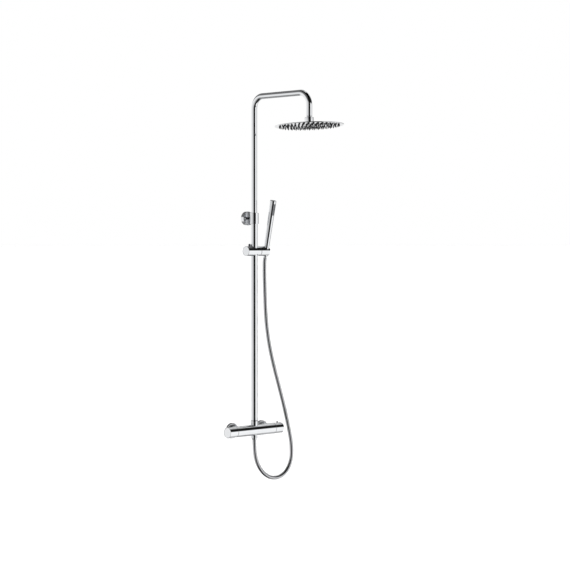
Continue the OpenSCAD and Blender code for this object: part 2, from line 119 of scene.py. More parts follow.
ON_RISER = shift(0, AXIS_Y, 0)
ON_SLIDER = shift(0, AXIS_Y, SLIDER.z)
ON_HEAD = shift(BALL.x, BALL.y, BALL.z) @ Matrix.Rotation(HEAD_LEAN, 4, "X")
ON_HOLDER = ON_SLIDER @ Matrix.Rotation(HANDSET_LEAN, 4, "X")
ON_HANDSET = ON_HOLDER @ shift(HANDSET_X, -HANDSET_OUT, 0)


# ---- Camera ----
VIEW_AZIMUTH = math.radians(44.008)
VIEW_DOWN = math.radians(1.381)
CAMERA_PLACE = (-4.3537, -4.7171, 0.6959)
LENS = 108.26
SENSOR_WIDTH = 36
CAMERA_REACH = 3000          # metres, past the floor's far edge


def make_camera():
    data = bpy.data.cameras.new("camera")
    data.lens = LENS
    data.sensor_width = SENSOR_WIDTH
    data.clip_end = CAMERA_REACH
    camera = bpy.data.objects.new("camera", data)
    camera.location = CAMERA_PLACE
    camera.rotation_euler = (math.pi / 2 - VIEW_DOWN, 0, -VIEW_AZIMUTH)
    bpy.context.scene.collection.objects.link(camera)
    bpy.context.scene.camera = camera


make_camera()


# ---- Node helpers ----
def new_material(name):
    material = bpy.data.materials.new(name)
    material.use_nodes = True
    return material, material.node_tree, material.node_tree.nodes["Principled BSDF"]


def math_node(tree, operation, a, b=None, c=None):
    node = tree.nodes.new("ShaderNodeMath")
    node.operation = operation
    for socket, value in zip(node.inputs, (a, b, c)):
        if value is None:
            continue
        if isinstance(value, (int, float)):
            socket.default_value = value
        else:
            tree.links.new(value, socket)
    return node.outputs[0]


def map_range(tree, value, low, high, to_low, to_high, smooth=True):
    node = tree.nodes.new("ShaderNodeMapRange")
    node.interpolation_type = "SMOOTHSTEP" if smooth else "LINEAR"
    tree.links.new(value, node.inputs["Value"])
    for name, number in zip(("From Min", "From Max", "To Min", "To Max"), (low, high, to_low, to_high)):
        node.inputs[name].default_value = number
    return node.outputs["Result"]


def ramp(tree, value, stops):
    """A brightness ramp: stops are (position, brightness)."""
    node = tree.nodes.new("ShaderNodeValToRGB")
    elements = node.color_ramp.elements
    while len(elements) < len(stops):
        elements.new(1.0)
    for element, (position, brightness) in zip(elements, stops):
        element.position = position
        element.color = (brightness, brightness, brightness, 1)
    tree.links.new(value, node.inputs["Fac"])
    return node.outputs["Color"]


def noise(tree, scale, detail=3, stretch=(1, 1, 1)):
    """Noise in the object's own space, one unit of scale per metre."""
    coordinates = tree.nodes.new("ShaderNodeTexCoord")
    mapping = tree.nodes.new("ShaderNodeMapping")
    mapping.inputs["Scale"].default_value = stretch
    texture = tree.nodes.new("ShaderNodeTexNoise")
    texture.inputs["Scale"].default_value = scale
    texture.inputs["Detail"].default_value = detail
    tree.links.new(coordinates.outputs["Object"], mapping.inputs["Vector"])
    tree.links.new(mapping.outputs["Vector"], texture.inputs["Vector"])
    return texture.outputs["Fac"]


def colour_between(tree, value, first, second):
    node = tree.nodes.new("ShaderNodeMix")
    node.data_type = "RGBA"
    tree.links.new(value, node.inputs["Factor"])
    node.inputs["A"].default_value = (*first, 1)
    node.inputs["B"].default_value = (*second, 1)
    return node.outputs["Result"]


def add_bump(tree, shader, height, distance):
    node = tree.nodes.new("ShaderNodeBump")
    node.inputs["Strength"].default_value = 1.0
    node.inputs["Distance"].default_value = distance
    tree.links.new(height, node.inputs["Height"])
    tree.links.new(node.outputs["Normal"], shader.inputs["Normal"])


# ---- Materials ----
def metal(name, first, second, rough_low, rough_high, grain, stretch=(1, 1, 1), bump=0.0):
    """Metal whose tint and polish drift slightly, with fine grain where bump is given."""
    material, tree, shader = new_material(name)
    shader.inputs["Metallic"].default_value = 1
    drift = map_range(tree, noise(tree, 9, 2), 0.35, 0.65, 0, 1)
    tree.links.new(colour_between(tree, drift, first, second), shader.inputs["Base Color"])
    fine = noise(tree, grain, 4, stretch)
    tree.links.new(map_range(tree, fine, 0.3, 0.7, rough_low, rough_high), shader.inputs["Roughness"])
    if bump:
        add_bump(tree, shader, fine, bump)
    return material


def plastic(name, first, second, rough_low, rough_high, grain, bump, specular=0.5):
    """Moulded plastic, rubber or ceramic: slightly mottled, with a fine skin."""
    material, tree, shader = new_material(name)
    shader.inputs["Specular IOR Level"].default_value = specular
    fine = noise(tree, grain, 4)
    mottle = map_range(tree, noise(tree, grain / 12, 3), 0.3, 0.7, 0, 1)
    tree.links.new(colour_between(tree, mottle, first, second), shader.inputs["Base Color"])
    tree.links.new(map_range(tree, fine, 0.3, 0.7, rough_low, rough_high), shader.inputs["Roughness"])
    add_bump(tree, shader, fine, bump)
    return material


MATERIALS = {
    "chrome": metal("polished_chrome", (0.86, 0.87, 0.885), (0.82, 0.832, 0.85), 0.025, 0.06, 140),
    # The hose's metal is tinted darker than the other chrome: painted shade standing in for the shade between its
    # ribs
    "hose_metal": metal("hose_chrome_painted_shade", (0.58, 0.58, 0.60), (0.53, 0.54, 0.55), 0.05, 0.1, 260),
    "face_steel": metal("face_chrome", (0.80, 0.81, 0.825), (0.76, 0.77, 0.79), 0.04, 0.09, 180),
    "steel": metal("plain_steel", (0.58, 0.585, 0.60), (0.50, 0.505, 0.52), 0.22, 0.38, 300,
                   (1, 1, 8), 0.00002),
    "spring_steel": metal("spring_steel", (0.50, 0.51, 0.53), (0.43, 0.44, 0.46), 0.2, 0.35, 900,
                          (1, 1, 1), 0.00002),
    "brass": metal("turned_brass", (0.78, 0.58, 0.28), (0.68, 0.49, 0.22), 0.18, 0.34, 400,
                   (1, 1, 1), 0.00002),
    "rubber": plastic("seal_rubber", (0.020, 0.020, 0.022), (0.032, 0.032, 0.034), 0.5, 0.7, 900,
                      0.00004, 0.3),
    "silicone": plastic("nozzle_silicone", (0.014, 0.015, 0.017), (0.022, 0.023, 0.026), 0.34, 0.5,
                        1200, 0.00003, 0.35),
    "white_plastic": plastic("white_acetal", (0.78, 0.78, 0.75), (0.70, 0.70, 0.67), 0.3, 0.45, 700,
                             0.00003),
    "grey_plastic": plastic("dark_grey_plastic", (0.075, 0.078, 0.084), (0.055, 0.058, 0.063), 0.3, 0.42,
                            800, 0.00003),
    "ceramic": plastic("valve_ceramic", (0.80, 0.78, 0.72), (0.74, 0.72, 0.66), 0.1, 0.2, 500,
                       0.00001),
}


# The spray face has the handset's grey plastic in a paler shade
SPRAY_GREY = plastic("spray_face_grey", (0.20, 0.205, 0.215), (0.16, 0.165, 0.175), 0.3, 0.42, 800,
                     0.00003)


# ---- Mesh helpers ----
def fillet(corners):
    """Turns corners (r, z) or (r, z, fillet radius) into outline points with round stretches.

    A short straight support on each side of a fillet keeps the flats next to it flat-shaded."""
    outline = []
    count = len(corners)
    for i, corner in enumerate(corners):
        here = Vector(corner[:2])
        radius = corner[2] if len(corner) > 2 else 0
        if not radius:
            outline.append(tuple(here))
            continue
        back = Vector(corners[(i - 1) % count][:2]) - here
        ahead = Vector(corners[(i + 1) % count][:2]) - here
        half = back.angle(ahead) / 2
        reach = radius / math.tan(half)
        support = reach + min(0.25, (min(back.length, ahead.length) - reach) * 0.3)
        centre = here + (back.normalized() + ahead.normalized()).normalized() * radius / math.sin(half)
        first = here + back.normalized() * reach - centre
        last = here + ahead.normalized() * reach - centre
        outline.append(tuple(here + back.normalized() * support))
        sweep = first.angle_signed(last)
        for step in range(FILLET_STEPS + 1):
            point = first.copy()
            point.rotate(Matrix.Rotation(-sweep * step / FILLET_STEPS, 2))
            outline.append(tuple(centre + point))
        outline.append(tuple(here + ahead.normalized() * support))
    return outline


def lathe(corners, sides=SIDES, closed=False, wave=None):
    """(points, faces) of an outline turned about local Z. An open outline starts and ends on the axis.

    wave(angle, r) may change the radius, for flats."""
    outline = fillet(corners)
    points, rows = [], []
    for r, z in outline:
        if r < 1e-6:
            rows.append([len(points)] * sides)
            points.append((0, 0, z))
            continue
        rows.append(list(range(len(points), len(points) + sides)))
        for k in range(sides):
            angle = 2 * math.pi * k / sides
            radius = wave(angle, r) if wave else r
            points.append((radius * math.cos(angle), radius * math.sin(angle), z))
    faces = []
    pairs = list(zip(rows, rows[1:] + rows[:1])) if closed else list(zip(rows, rows[1:]))
    for low, high in pairs:
        for k in range(sides):
            after = (k + 1) % sides
            face = [low[k], low[after], high[after], high[k]]
            face = [v for i, v in enumerate(face) if v not in face[:i]]
            if len(face) > 2:
                faces.append(face)
    return points, faces


def merged(*shapes):
    """Several (points, faces, matrix) shapes as one."""
    points, faces = [], []
    for shape_points, shape_faces, matrix in shapes:
        start = len(points)
        points += [tuple(matrix @ Vector(p)) for p in shape_points]
        faces += [[start + v for v in face] for face in shape_faces]
    return points, faces


def mesh_object(name, shape, place, crease=CREASE):
    points, faces = shape
    mesh = bpy.data.meshes.new(name)
    mesh.from_pydata([(place @ Vector(p)) * MM for p in points], [], faces)
    tidy = bmesh.new()
    tidy.from_mesh(mesh)
    bmesh.ops.recalc_face_normals(tidy, faces=tidy.faces)
    for face in tidy.faces:
        face.smooth = True
    tidy.to_mesh(mesh)
    tidy.free()
    mesh.set_sharp_from_angle(angle=math.radians(crease))
    obj = bpy.data.objects.new(name, mesh)
    bpy.context.scene.collection.objects.link(obj)
    return obj


def cut(obj, *cutters):
    """Takes the cutters' shapes out of a piece. A cutter is (shape, place)."""
    for index, (shape, place) in enumerate(cutters):
        cutter = mesh_object(f"cutter_{index}", shape, place)
        modifier = obj.modifiers.new("cut", "BOOLEAN")
        modifier.operation = "DIFFERENCE"
        modifier.solver = "EXACT"
        modifier.object = cutter
        bpy.context.view_layer.update()
        graph = bpy.context.evaluated_depsgraph_get()
        result = bpy.data.meshes.new_from_object(obj.evaluated_get(graph))
        obj.modifiers.clear()
        old = obj.data
        obj.data = result
        bpy.data.meshes.remove(old)
        bpy.data.objects.remove(cutter)
    obj.data.set_sharp_from_angle(angle=math.radians(CREASE))


def dress(obj, material, body, replaced=()):
    """Gives a finished piece its material and its body, and hides the CAD nodes that it stands for."""
    obj.data.materials.clear()
    obj.data.materials.append(MATERIALS[material])
    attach(obj, body)
    if replaced:
        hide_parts(*replaced)


def turned(name, corners, place, material, body, replaced=(), closed=False, sides=SIDES, wave=None):
    obj = mesh_object(name, lathe(corners, sides, closed, wave), place)
    dress(obj, material, body, replaced)


def rod(radius, low, high, sides=48):
    return lathe([(0, low), (radius, low), (radius, high), (0, high)], sides)


def block(low, high):
    xs, ys, zs = zip(low, high)
    points = [(x, y, z) for x in xs for y in ys for z in zs]
    faces = [(0, 1, 3, 2), (4, 6, 7, 5), (0, 4, 5, 1), (2, 3, 7, 6), (0, 2, 6, 4), (1, 5, 7, 3)]
    return points, faces


# ---- Hose ----
HOSE_D = 14
# From the handset's nut to the outlet's, as the CAD hose has it
HOSE_ROUTE = [
    (55, -44.8, 643), (55, -42, 630), (56, -40.3, 600), (56.8, -40.5, 560),
    (57.2, -41.8, 510), (57.5, -43.5, 460), (61, -45, 400), (69, -46, 345), (80, -47, 295),
    (94, -48, 245), (110, -49, 195), (127, -50, 145), (144, -50, 95), (160, -50, 45),
    (174, -50, -5), (185, -50, -50), (190, -50, -90), (187, -50, -125),
    (174, -50, -155), (152, -50, -176), (124, -50, -187), (94, -49, -188),
    (65, -48, -179), (39, -47, -161), (18, -46, -134), (5, -45, -102),
    (0.5, -45, -66), (0, -45, -35.4)]
RIB_PITCH = 3.0
RIB_DEPTH = 0.22
RINGS_PER_RIB = 8
HOSE_SIDES = 24
STEPS_PER_POINT = 24         # of the spline, before its points are spaced evenly
# Heights at which one stretch ends and the next begins
NUT_SEAM_Z, HOLDER_SEAM_Z, SLIDER_SEAM_Z = 625, 500, 300
LOOP_RIGHT_Z, LOOP_LEFT_Z = -91, -124


def spline_point(a, b, c, d, t):
    """A point of the uniform cubic B-spline, as the CAD hose has it."""
    return (a * (1 - t) ** 3 + b * (3 * t ** 3 - 6 * t * t + 4)
            + c * (-3 * t ** 3 + 3 * t * t + 3 * t + 1) + d * t ** 3) / 6


def hose_line():
    route = [Vector(p) for p in HOSE_ROUTE]
    padded = [2 * route[0] - route[1], *route, 2 * route[-1] - route[-2]]
    line = []
    for i in range(len(route) - 1):
        line += [spline_point(*padded[i:i + 4], s / STEPS_PER_POINT) for s in range(STEPS_PER_POINT)]
    return line + [route[-1]]


def respaced(line, spacing):
    """Points at an even spacing along the line."""
    marks = [0.0]
    for a, b in zip(line, line[1:]):
        marks.append(marks[-1] + (b - a).length)
    count = round(marks[-1] / spacing)
    even, i = [], 0
    for k in range(count + 1):
        at = marks[-1] * k / count
        while i < len(marks) - 2 and marks[i + 1] < at:
            i += 1
        share = (at - marks[i]) / (marks[i + 1] - marks[i])
        even.append(line[i].lerp(line[i + 1], share))
    return even


HOSE_POINTS = respaced(hose_line(), RIB_PITCH / RINGS_PER_RIB)


def carried_frames(points):
    """A side and an up direction at each point, carried along without twist."""
    frames = []
    side = Vector((0, 1, 0))
    for i in range(len(points)):
        ahead = (points[min(i + 1, len(points) - 1)] - points[max(i - 1, 0)]).normalized()
        side = (side - ahead * side.dot(ahead)).normalized()
        frames.append((side, ahead.cross(side)))
    return frames


HOSE_FRAMES = carried_frames(HOSE_POINTS)


def rib_radius(ring, angle):
    """Radius of the wound strip: a rounded crest and a narrow groove that runs as a helix."""
    phase = (ring / RINGS_PER_RIB - angle / (2 * math.pi)) % 1
    groove = max(0.0, math.cos(2 * math.pi * phase)) ** 2
    return HOSE_D / 2 - RIB_DEPTH * groove


def hose_stretch(name, first, last):
    """The hose between two of its rings, closed at both ends."""
    points, faces = [], []
    for ring in range(first, last + 1):
        side, up = HOSE_FRAMES[ring]
        for k in range(HOSE_SIDES):
            angle = 2 * math.pi * k / HOSE_SIDES
            out = side * math.cos(angle) + up * math.sin(angle)
            points.append(tuple(HOSE_POINTS[ring] + out * rib_radius(ring, angle)))
    for row in range(last - first):
        for k in range(HOSE_SIDES):
            a, b = row * HOSE_SIDES + k, row * HOSE_SIDES + (k + 1) % HOSE_SIDES
            faces.append((a, b, b + HOSE_SIDES, a + HOSE_SIDES))
    faces.append(list(range(HOSE_SIDES))[::-1])
    faces.append([(last - first) * HOSE_SIDES + k for k in range(HOSE_SIDES)])
    obj = mesh_object(name, (points, faces), Matrix.Identity(4), crease=75)
    obj.data.materials.append(MATERIALS["hose_metal"])
    return obj


def ring_at(z, side):
    """The ring nearest to height z, on the handset's side or the outlet's side of the lowest point."""
    lowest = min(range(len(HOSE_POINTS)), key=lambda i: HOSE_POINTS[i].z)
    span = range(lowest) if side == "handset" else range(lowest, len(HOSE_POINTS))
    return min(span, key=lambda i: abs(HOSE_POINTS[i].z - z))


def make_hose():
    """Six stretches end to end, each a fixed mesh.

    From the handset down, the cuts fall at the handset lift, the holder tilt, the slider swivel and the
    slider's height, and the loop's round bottom is a stretch of its own."""
    end = len(HOSE_POINTS) - 1
    below_nut = ring_at(NUT_SEAM_Z, "handset")
    below_holder = ring_at(HOLDER_SEAM_Z, "handset")
    below_slider = ring_at(SLIDER_SEAM_Z, "handset")
    loop_right = ring_at(LOOP_RIGHT_Z, "handset")       # where the hose hangs straight down
    loop_left = ring_at(LOOP_LEFT_Z, "outlet")

    def height(ring):
        return HOSE_POINTS[ring].z

    def stretch(name, first, last, body_a, body_b, z_a, z_b):
        """One stretch of the hose. body_a, body_b, z_a and z_b are not used."""
        piece = hose_stretch(name, first, last)
        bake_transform(piece)
        return piece

    far = 20000              # a far offset for the loop's two heights
    bottom = height(loop_right)
    top = stretch("hose_at_handset", 0, below_nut, "holder", "handset",
                  height(below_nut), height(0) - 2)
    tilt = stretch("hose_at_holder", below_nut, below_holder, "slider", "holder",
                   height(below_holder), height(below_nut))
    swing = stretch("hose_at_slider", below_holder, below_slider, "slider_carriage", "slider",
                    height(below_slider), height(below_holder))
    down = stretch("hose_going_down", below_slider, loop_right, "mixer", "slider_carriage",
                   2 * bottom - height(below_slider), height(below_slider))
    loop = stretch("hose_loop", loop_right, loop_left, "mixer", "slider_carriage",
                   bottom - far, bottom + far)
    outlet = stretch("hose_at_outlet", loop_left, end, "mixer", "slider_carriage",
                     height(end), 2 * height(loop_left) - height(end))
    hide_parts("hose")


make_hose()


# ---- Stage and light ----
FLOOR_DROP = 1.05            # the mixer hangs about this far above the floor, in metres
FLOOR_HALF = 900             # half its side, in metres, so that no edge shows


def make_floor():
    mesh = bpy.data.meshes.new("floor")
    corners = [(-FLOOR_HALF, -FLOOR_HALF), (FLOOR_HALF, -FLOOR_HALF),
               (FLOOR_HALF, FLOOR_HALF), (-FLOOR_HALF, FLOOR_HALF)]
    mesh.from_pydata([(x, y, -FLOOR_DROP) for x, y in corners], [], [(0, 1, 2, 3)])
    material, tree, shader = new_material("pale_floor")
    shader.inputs["Roughness"].default_value = 0.9
    shader.inputs["Specular IOR Level"].default_value = 0.1
    tone = map_range(tree, noise(tree, 1.5, 2), 0.3, 0.7, 0, 1)
    tree.links.new(colour_between(tree, tone, (0.93, 0.93, 0.93), (0.95, 0.95, 0.95)),
                   shader.inputs["Base Color"])
    mesh.materials.append(material)
    floor = bpy.data.objects.new("floor", mesh)
    floor.visible_glossy = False
    bpy.context.scene.collection.objects.link(floor)


def make_studio():
    """A white studio as chrome sees it: pale walls with a dark flat across the front, mostly dark
    above eye level, a grey floor that is dark straight below, and a ceiling that is bright only at
    the back. The camera itself sees plain white."""
    world = bpy.data.worlds.new("studio")
    bpy.context.scene.world = world
    world.use_nodes = True
    tree = world.node_tree
    tree.nodes.clear()
    direction = tree.nodes.new("ShaderNodeTexCoord").outputs["Generated"]

    def along(vector):
        node = tree.nodes.new("ShaderNodeVectorMath")
        node.operation = "DOT_PRODUCT"
        tree.links.new(direction, node.inputs[0])
        node.inputs[1].default_value = vector
        return node.outputs["Value"]

    front = along((-math.sin(VIEW_AZIMUTH), -math.cos(VIEW_AZIMUTH), 0))
    right = along((math.cos(VIEW_AZIMUTH), -math.sin(VIEW_AZIMUTH), 0))
    around = math_node(tree, "ARCTAN2", right, front)
    share = map_range(tree, around, -math.pi, math.pi, 0, 1, smooth=False)
    rise = math_node(tree, "ARCSINE", along((0, 0, 1)))

    def round_ramp(*stops):
        """Brightness by azimuth in degrees, 0 at the studio's front and positive to its right."""
        return ramp(tree, share, [(0.5 + degrees / 360, level) for degrees, level in stops])

    def dimmed(level, inside, depth):
        """The level, brought down to depth times itself where inside is 1."""
        change = math_node(tree, "MULTIPLY_ADD", math_node(tree, "SUBTRACT", depth, 1), inside, 1)
        return math_node(tree, "MULTIPLY", level, change)

    def degrees_up(height, low, high, from_value, to_value):
        return map_range(tree, height, math.radians(low), math.radians(high), from_value, to_value)

    walls = round_ramp((-180, 0.8), (-150, 0.85), (-123, 0.92), (-71, 0.74), (-32, 0.5), (-22, 0.38),
                       (-15, 0.012), (41, 0.012), (47, 0.9), (77, 0.97), (107, 0.95), (134, 0.8),
                       (168, 0.8), (180, 0.8))
    right_depth = round_ramp((-180, 1), (100, 1), (111, 0.42), (160, 0.42), (168, 1), (180, 1))
    strip_depth = round_ramp((-180, 0.2), (-150, 0.16), (-100, 0.18), (-40, 0.2), (40, 0.05),
                             (60, 0.012), (118, 0.015), (126, 0.95), (166, 0.95), (176, 0.2))
    ground_depth = round_ramp((-180, 0.3), (-100, 0.25), (-60, 0.5), (0, 0.6), (60, 0.85),
                              (112, 1), (134, 0.7), (165, 0.42), (180, 0.3))
    strip_drop = round_ramp((-180, 0.16), (-150, 0.08), (-120, 0), (50, 0), (70, 0.11), (112, 0.11),
                            (130, 0), (150, 0), (174, 0.16))
    beside = math_node(tree, "MULTIPLY", degrees_up(rise, -22, -14, 0, 1), degrees_up(rise, 14, 22, 1, 0))
    level = dimmed(walls, beside, right_depth)
    in_strip = degrees_up(math_node(tree, "ADD", rise, strip_drop), 12, 21, 0, 1)
    level = dimmed(level, in_strip, strip_depth)
    level = dimmed(level, degrees_up(rise, -36, -26, 1, 0), ground_depth)
    ceiling_depth = round_ramp((-180, 3), (-155, 2.5), (-130, 0.06), (135, 0.06), (158, 0.9), (168, 0.9),
                               (178, 3), (180, 3))
    level = dimmed(level, degrees_up(rise, 47, 54, 0, 1), ceiling_depth)
    level = dimmed(level, degrees_up(rise, -60, -50, 1, 0), 0.06)

    seen = tree.nodes.new("ShaderNodeBackground")
    seen.inputs["Color"].default_value = (1, 1, 1, 1)
    seen.inputs["Strength"].default_value = 1.0
    lit = tree.nodes.new("ShaderNodeBackground")
    tree.links.new(level, lit.inputs["Color"])
    lit.inputs["Strength"].default_value = 1.12
    path = tree.nodes.new("ShaderNodeLightPath")
    mix = tree.nodes.new("ShaderNodeMixShader")
    tree.links.new(path.outputs["Is Camera Ray"], mix.inputs["Fac"])
    tree.links.new(lit.outputs["Background"], mix.inputs[1])
    tree.links.new(seen.outputs["Background"], mix.inputs[2])
    output = tree.nodes.new("ShaderNodeOutputWorld")
    tree.links.new(mix.outputs["Shader"], output.inputs["Surface"])


def make_sun():
    """Soft light from straight above, which keeps the floor white all over."""
    data = bpy.data.lights.new("ceiling_light", "SUN")
    data.energy = 3.2
    data.angle = math.radians(60)
    light = bpy.data.objects.new("ceiling_light", data)
    light.visible_glossy = False
    bpy.context.scene.collection.objects.link(light)


def make_light(name, place, target, size, power):
    data = bpy.data.lights.new(name, "AREA")
    data.size = size
    data.energy = power
    light = bpy.data.objects.new(name, data)
    light.location = place
    light.rotation_euler = (Vector(target) - Vector(place)).to_track_quat("-Z", "Y").to_euler()
    light.visible_glossy = False
    light.visible_camera = False
    bpy.context.scene.collection.objects.link(light)


make_floor()
make_studio()
make_sun()
make_light("front_softbox", (-3.5, -4.0, 2.5), (0, 0, 0.6), 2.5, 60)
bpy.context.scene.view_settings.view_transform = "Standard"


# ---- Mixer ----
BAR_R = 20.0
SHELL_WALL = 1.5             # of the wall rosettes and the bracket's cover
GRUB_HOLE_R = 2
KNOB_DISH = 0.45
BUTTON_STEM_R, BUTTON_CAP_R, BUTTON_FLANGE_R = 2, 3.2, 4.6
SPRING_WIRE_R = 0.4
SPRING_TURNS = 3


def make_mixer():
    half = box_mm("mixer_body")[1].x
    bore = 15.6
    turned("mixer_bar", [
        (0, 3 - half), (bore, 3 - half), (bore, -half, 0.2), (BAR_R, -half, 0.5),
        (BAR_R, half, 0.5), (bore, half, 0.2), (bore, half - 3), (0, half - 3)],
        on_bar(0), "chrome", "mixer", ["mixer_body"], sides=160)
    for side, x in INLETS:
        turned(f"{side}_inlet_stub", [
            (0, 31), (7.5, 31), (7.5, 28), (7.5, 17.2, 0.3), (12.9, 17.2, 0.4), (12.9, 21, 0.6),
            (10, 21, 0.6), (10, 32.5), (0, 32.5)],
            on_wall(x, 0, 0), "chrome", "mixer", sides=64)


def make_union_nut(side, x):
    low, high = box_mm(f"{side}_union_nut")
    flats, thread_r = 15.0, 10.2
    near, far = -high.y, -low.y

    def hexagon(angle, r):
        if r < flats - 1:
            return r
        within = (angle + math.pi / 6) % (math.pi / 3) - math.pi / 6
        return min(flats / math.cos(within), r)

    chamfer = [(flats * (1.01 + 0.145 * k / 4), 0.35 * k) for k in range(5)]
    outside = [(r, near + rise) for r, rise in chamfer] + [(r, far - rise) for r, rise in chamfer[::-1]]
    turned(f"{side}_hexagon_nut", [(thread_r, near), *outside, (thread_r, far)], on_wall(x, 0, 0),
           "chrome", "mixer", [f"{side}_union_nut"], closed=True, sides=96, wave=hexagon)


def make_rosette(side, x):
    low, high = box_mm(f"{side}_wall_rosette")
    r, depth, wall = (high.x - low.x) / 2, -low.y, SHELL_WALL
    turned(f"{side}_rosette_shell", [
        (r - wall, 0), (r, 0, 0.3), (r, depth - 3.2, 1.2), (r - 3, depth - 2.6, 0.6),
        (r - 4.2, depth, 1.0), (13.5, depth, 0.5), (13.5, depth - wall), (r - wall - 4, depth - wall),
        (r - wall - 3.5, depth - 4.2), (r - wall, depth - 4.6)],
        on_wall(x, 0, 0), "chrome", "mixer", [f"{side}_wall_rosette"], closed=True)


def knob_corners(length):
    skirt = BAR_R - 3
    return [
        (0, length - 9), (skirt, length - 9), (skirt, 0, 0.3), (BAR_R, 0, 0.5), (BAR_R, length, 1.0),
        (BAR_R - 2.6, length, 0.3), (BAR_R - 3.1, length - KNOB_DISH, 0.3), (0, length - KNOB_DISH)]


def make_knobs():
    """The two handles, alike and mirrored. The right one has the safety button's hole."""
    flow_low, flow_high = box_mm("flow_knob")
    length = flow_high.x - flow_low.x
    warm_x = box_mm("temperature_knob")[0].x
    button_low, button_high = box_mm("stop_button")
    button_x = (button_low.x + button_high.x) / 2
    screw_z = length - 24
    screw_hole = rod(GRUB_HOLE_R, 0, BAR_R + 2)
    button_hole = rod(BUTTON_STEM_R + 0.1, 8, BAR_R + 2)
    flow = mesh_object("flow_handle_shell", lathe(knob_corners(length), 160),
                       on_bar(flow_high.x) @ turn("X", 180))
    cut(flow, (screw_hole, on_bar(flow_high.x - screw_z) @ turn("Y", 90)))
    dress(flow, "chrome", "flow_handle", ["flow_knob"])
    warm = mesh_object("temperature_handle_shell", lathe(knob_corners(length), 160), on_bar(warm_x))
    cut(warm, (screw_hole, on_bar(warm_x + screw_z) @ turn("Y", 90)),
        (button_hole, shift(button_x, AXIS_Y, 0)))
    dress(warm, "chrome", "temperature_handle", ["temperature_knob"])


def make_stop_button():
    low, high = box_mm("stop_button")
    flange_top, cap_low = low.z + 1.5, high.z - 2.6
    turned("safety_stop_button", [
        (0, low.z), (BUTTON_FLANGE_R, low.z, 0.3), (BUTTON_FLANGE_R, flange_top, 0.3),
        (BUTTON_STEM_R, flange_top), (BUTTON_STEM_R, cap_low), (BUTTON_CAP_R, cap_low, 0.5),
        (BUTTON_CAP_R, high.z, 1.0), (0, high.z)],
        shift((low.x + high.x) / 2, AXIS_Y, 0), "grey_plastic", "stop_button", ["stop_button"],
        sides=48)


def make_button_spring():
    """The coil under the safety button, made at one fixed length."""
    low, high = box_mm("stop_button_spring")
    middle = (low + high) / 2
    coil_r = (high.x - low.x) / 2 - SPRING_WIRE_R
    steps, sides = 24 * SPRING_TURNS, 10
    rise = high.z - low.z - 2 * SPRING_WIRE_R
    points, faces = [], []
    for i in range(steps + 1):
        a = 2 * math.pi * SPRING_TURNS * i / steps
        out = Vector((math.cos(a), math.sin(a), 0))
        ahead = Vector((-coil_r * math.sin(a), coil_r * math.cos(a),
                        rise / (2 * math.pi * SPRING_TURNS))).normalized()
        centre = out * coil_r + Vector((0, 0, low.z + SPRING_WIRE_R + rise * i / steps))
        for k in range(sides):
            b = 2 * math.pi * k / sides
            points.append(tuple(centre + SPRING_WIRE_R * (math.cos(b) * out
                                                          + math.sin(b) * ahead.cross(out))))
    for i in range(steps):
        for k in range(sides):
            a, b = i * sides + k, i * sides + (k + 1) % sides
            faces.append((a, b, b + sides, a + sides))
    faces += [tuple(range(sides)), tuple(range(steps * sides, (steps + 1) * sides))]
    spring = mesh_object("button_spring", (points, faces), shift(middle.x, middle.y, 0))
    dress(spring, "spring_steel", "temperature_handle", ["stop_button_spring"])
    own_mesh(spring)


def make_outlet():
    turned("outlet_collar", [(0, -13), (11.6, -13), (11.6, -21, 0.4), (6, -21), (6, -23), (0, -23)],
           ON_RISER, "chrome", "mixer", ["outlet_nipple"], sides=96)
    low, high = box_mm("hose_lower_nut")
    turned("hose_nut", [
        (0, low.z + 2), (6.9, low.z + 2), (7.6, low.z, 0.4), (9.2, low.z, 0.8), (11.6, low.z + 5, 1.2),
        (11.6, low.z + 8), (11.2, low.z + 8.4), (11.2, low.z + 9.2), (11.6, low.z + 9.6),
        (11.6, high.z - 0.2, 0.5), (9, high.z - 0.2), (0, high.z - 0.2)],
        ON_RISER, "chrome", "mixer", ["hose_lower_nut"], sides=96)


make_mixer()
for side_name, inlet_x in INLETS:
    make_union_nut(side_name, inlet_x)
    make_rosette(side_name, inlet_x)
make_knobs()
make_stop_button()
make_button_spring()
make_outlet()


# ---- Riser ----
def make_riser():
    """The lower tube with its nut and sleeve. Returns the sleeve's height and radius."""
    nut_high = box_mm("riser_nut")[1]
    r, top = nut_high.x, nut_high.z
    turned("riser_foot_nut", [
        (0, 17), (r, 17), (r, top - 2.4, 0.6), (r - 1, top, 0.5), (TUBE_R + SNUG, top),
        (TUBE_R + SNUG, top - 2), (0, top - 2)], ON_RISER, "chrome", "mixer", ["riser_nut"])
    bore_r = 11.3
    turned("fixed_tube", [
        (bore_r, RISER_LOW.z), (TUBE_R, RISER_LOW.z), (TUBE_R, RISER_HIGH.z), (bore_r, RISER_HIGH.z)],
        ON_RISER, "chrome", "mixer", ["lower_tube"], closed=True, sides=160)
    low, high = box_mm("riser_sleeve")
    r, mouth_r = high.x, 11.45
    sleeve = mesh_object("bracket_sleeve", lathe([
        (TUBE_R + SNUG, low.z), (r, low.z, 0.8), (r, high.z, 0.8), (mouth_r, high.z, 0.4),
        (mouth_r, high.z - 5), (TUBE_R + SNUG, high.z - 5)], 160, closed=True), ON_RISER)
    middle = (low.z + high.z) / 2
    cut(sleeve, (rod(GRUB_HOLE_R, TUBE_R - 2, r + 2), shift(0, AXIS_Y, middle) @ turn("Y", 90)))
    dress(sleeve, "chrome", "mixer", ["riser_sleeve"])
    return middle, r


